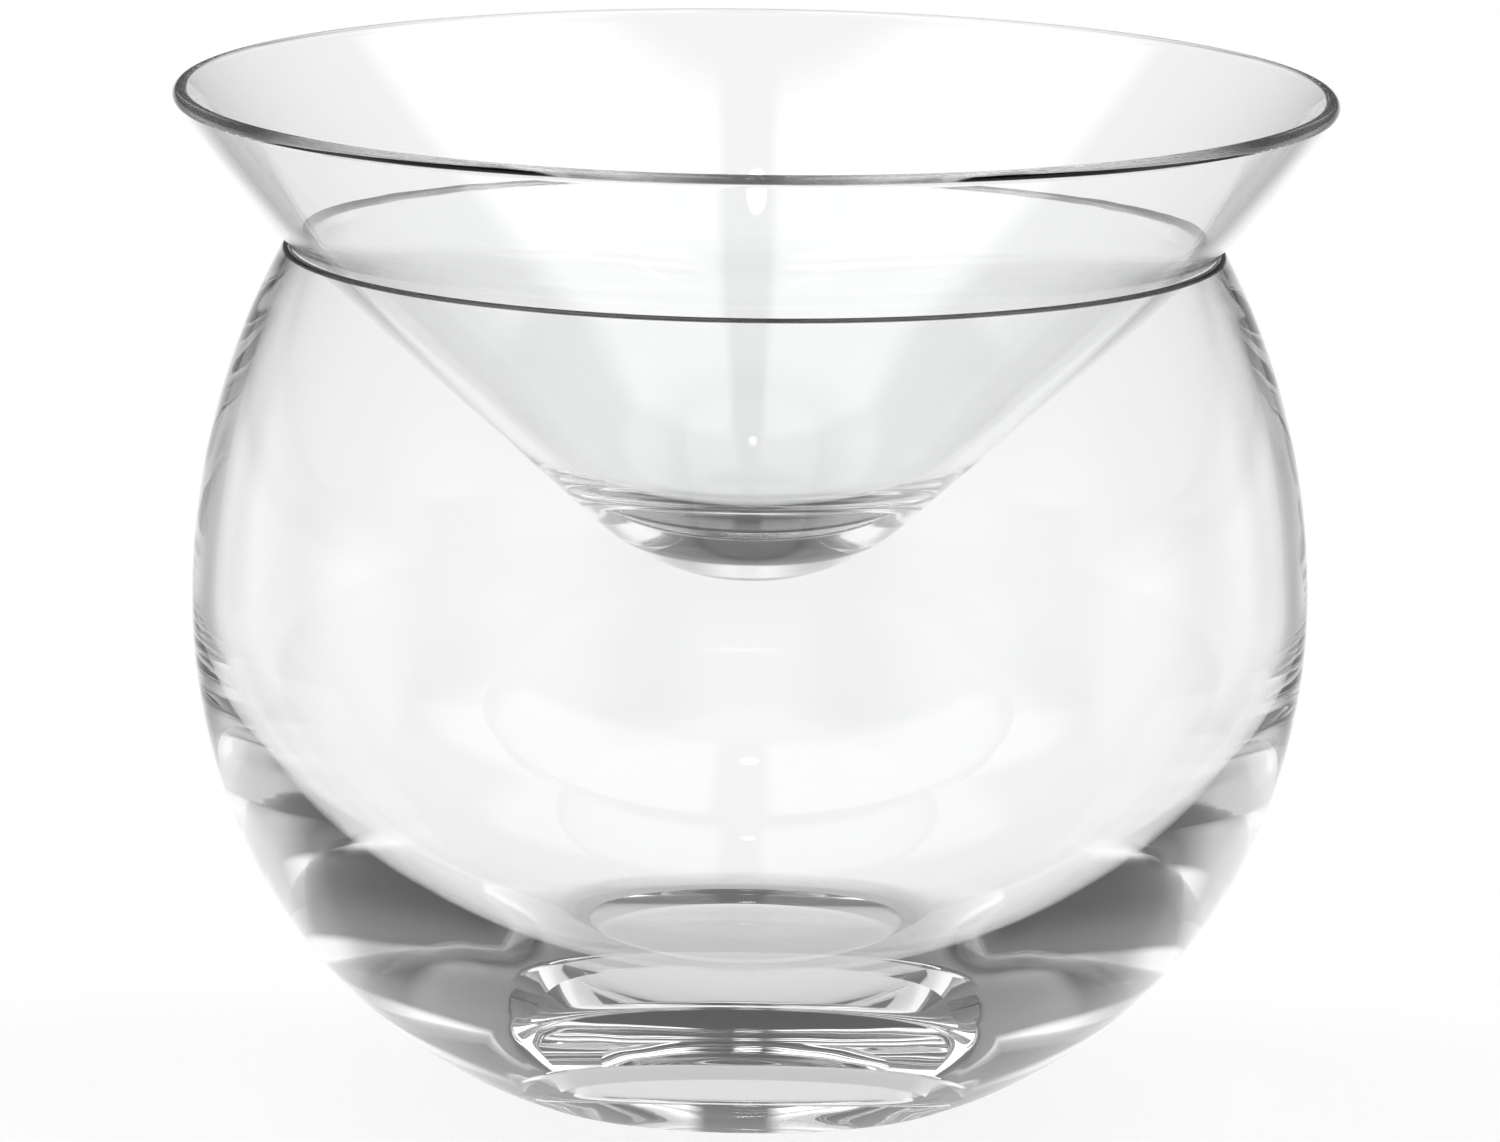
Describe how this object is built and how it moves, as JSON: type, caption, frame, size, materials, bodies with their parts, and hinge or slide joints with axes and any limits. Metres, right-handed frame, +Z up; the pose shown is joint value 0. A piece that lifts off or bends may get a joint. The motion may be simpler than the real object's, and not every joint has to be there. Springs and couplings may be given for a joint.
{
  "type": "caviar server",
  "caption": "Clear glass server: a heavy-based globe bowl for crushed ice, with a flared cone insert for caviar resting in its mouth.",
  "frame": {"origin": "centre of the bowl's foot, on the plane that it stands on", "axes": "+Z up along the axis that both pieces are turned about; +X and +Y are free"},
  "size_m": [0.112, 0.112, 0.098],
  "materials": {
    "bowl_glass": "polished clear",
    "insert_glass": "polished clear"
  },
  "bodies": {
    "root": {"globe_bowl": "bowl_glass", "cone_insert": "insert_glass"}
  },
  "joints": []
}
